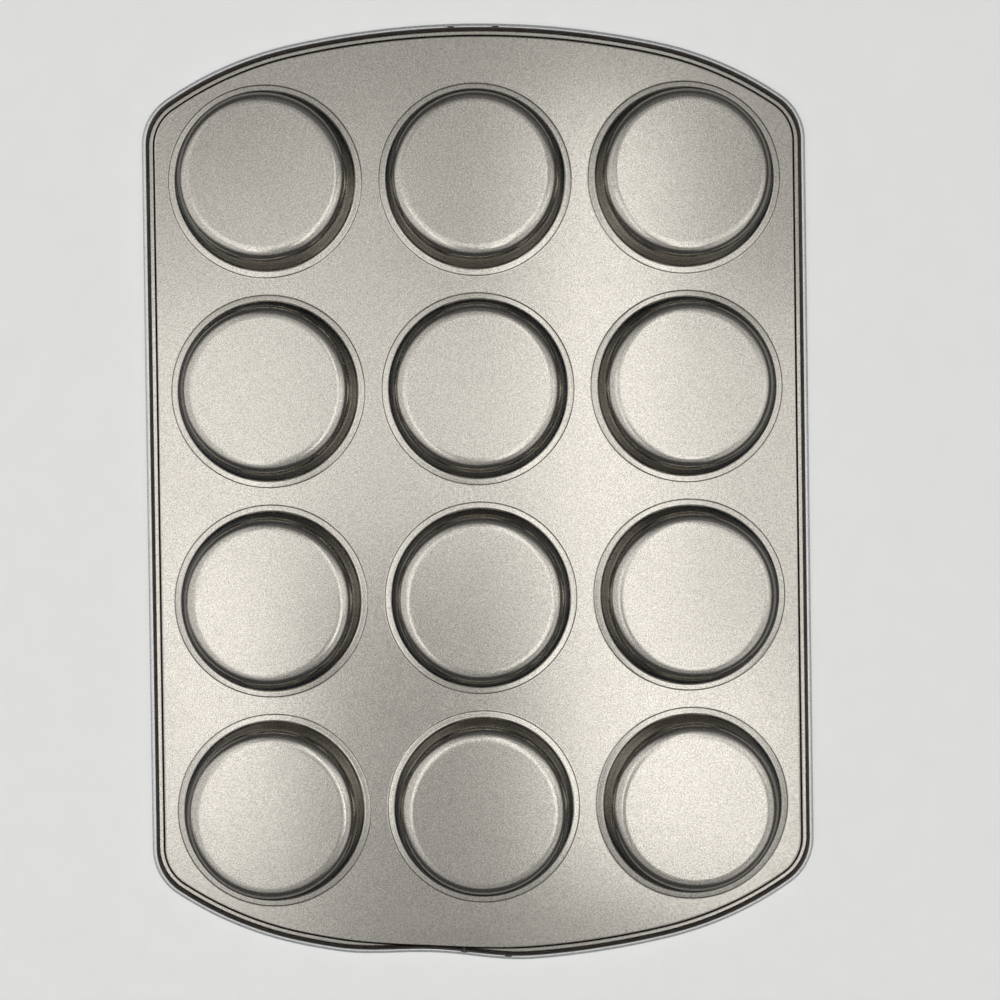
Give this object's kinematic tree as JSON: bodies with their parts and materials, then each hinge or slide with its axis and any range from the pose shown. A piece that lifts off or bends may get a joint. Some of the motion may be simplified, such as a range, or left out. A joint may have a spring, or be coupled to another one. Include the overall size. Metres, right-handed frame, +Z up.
{
  "type": "muffin top pan",
  "caption": "Non-stick steel muffin top pan with shallow round flat-bottomed cups in a flat web, bowed short ends and a wire-stiffened curled rim.",
  "frame": {"origin": "on the table under the middle of the pan", "axes": "+Z up out of the cups' mouths, X across the short way, Y along the long way, with the dented short end at -Y"},
  "size_m": [0.282, 0.3989, 0.0147],
  "materials": {
    "nonstick_sheet": "warm pewter non-stick coating with a fine metallic fleck, satin",
    "rim_steel": "plain drawn steel wire, dull"
  },
  "bodies": {
    "root": {"pan_sheet": "nonstick_sheet", "rim_wire": "rim_steel"}
  },
  "joints": []
}
